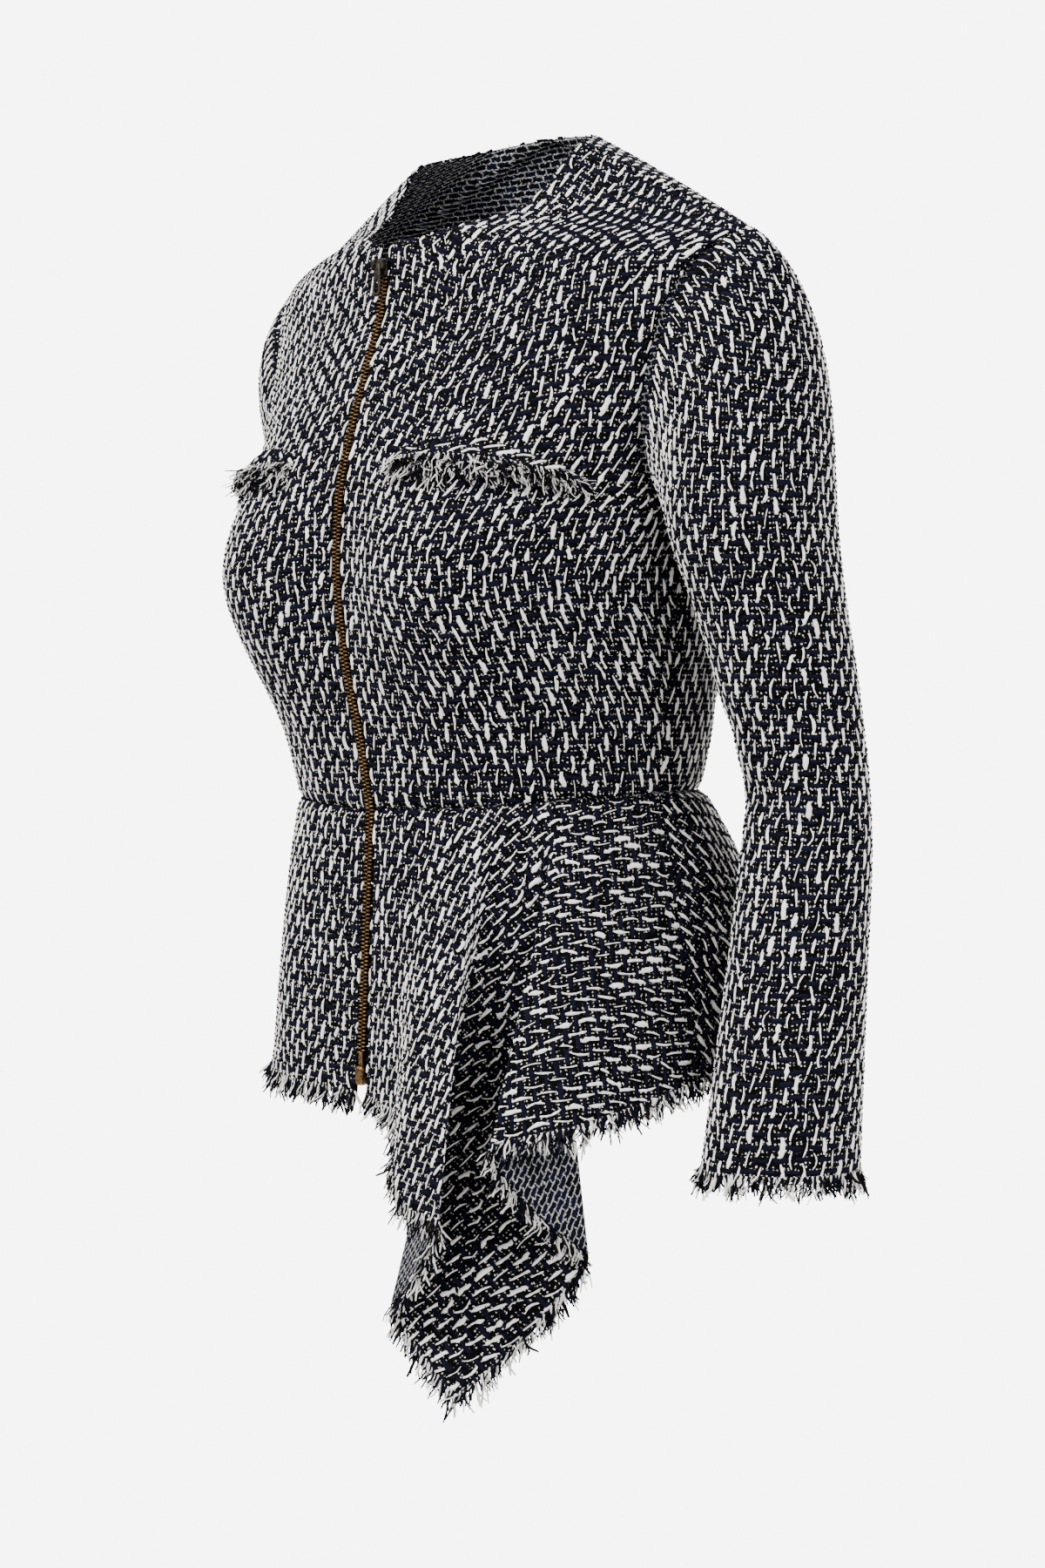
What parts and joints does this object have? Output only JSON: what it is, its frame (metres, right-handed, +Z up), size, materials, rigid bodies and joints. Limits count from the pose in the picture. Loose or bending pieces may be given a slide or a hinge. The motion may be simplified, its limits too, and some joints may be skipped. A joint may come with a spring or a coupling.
{
  "type": "collarless tweed jacket with a draped peplum",
  "caption": "Worn collarless jacket in open black, navy and white tweed, with set-in sleeves, an exposed front zip, frayed hems and a peplum that falls to a draped point.",
  "frame": {"origin": "between the shoulders of the wearer, level with the neck ends of the shoulder seams, where the jacket is carried", "axes": "+Z up, -Y to the front of the jacket, +X to the wearer's left"},
  "size_m": [0.5184, 0.3262, 0.7285],
  "materials": {
    "tweed": "open black, navy and white tweed of slub yarn",
    "fray": "frayed ends of the tweed's yarns",
    "zip_tape": "woven black tape",
    "zip_brass": "antique brass",
    "zip_bronze": "dark bronze"
  },
  "bodies": {
    "garment": {"front_left": "tweed", "front_right": "tweed", "back": "tweed", "sleeve_left_cap": "tweed", "sleeve_left_upper": "tweed", "sleeve_left_lower": "tweed", "sleeve_right_cap": "tweed", "sleeve_right_upper": "tweed", "sleeve_right_lower": "tweed", "peplum_front_left": "tweed", "peplum_front_right": "tweed", "peplum_back": "tweed", "pocket_left": "tweed", "pocket_right": "tweed", "fringe_pocket_left": "fray", "fringe_pocket_right": "fray", "fringe_hem_left": "fray", "fringe_hem_right": "fray", "fringe_hem_back": "fray", "fringe_cuff_left": "fray", "fringe_cuff_right": "fray", "zip_tape": "zip_tape", "zip_chain": "zip_brass", "zip_box": "zip_brass", "zip_slider": "zip_bronze"},
    "zip_pull": {"zip_pull": "zip_bronze"}
  },
  "joints": [
    {"name": "pull_flip", "type": "hinge", "parent": "garment", "child": "zip_pull", "pos_m": [0, -0.09563, -0.0646], "axis": [-1, 0, 0], "range_deg": [0, 150]}
  ]
}
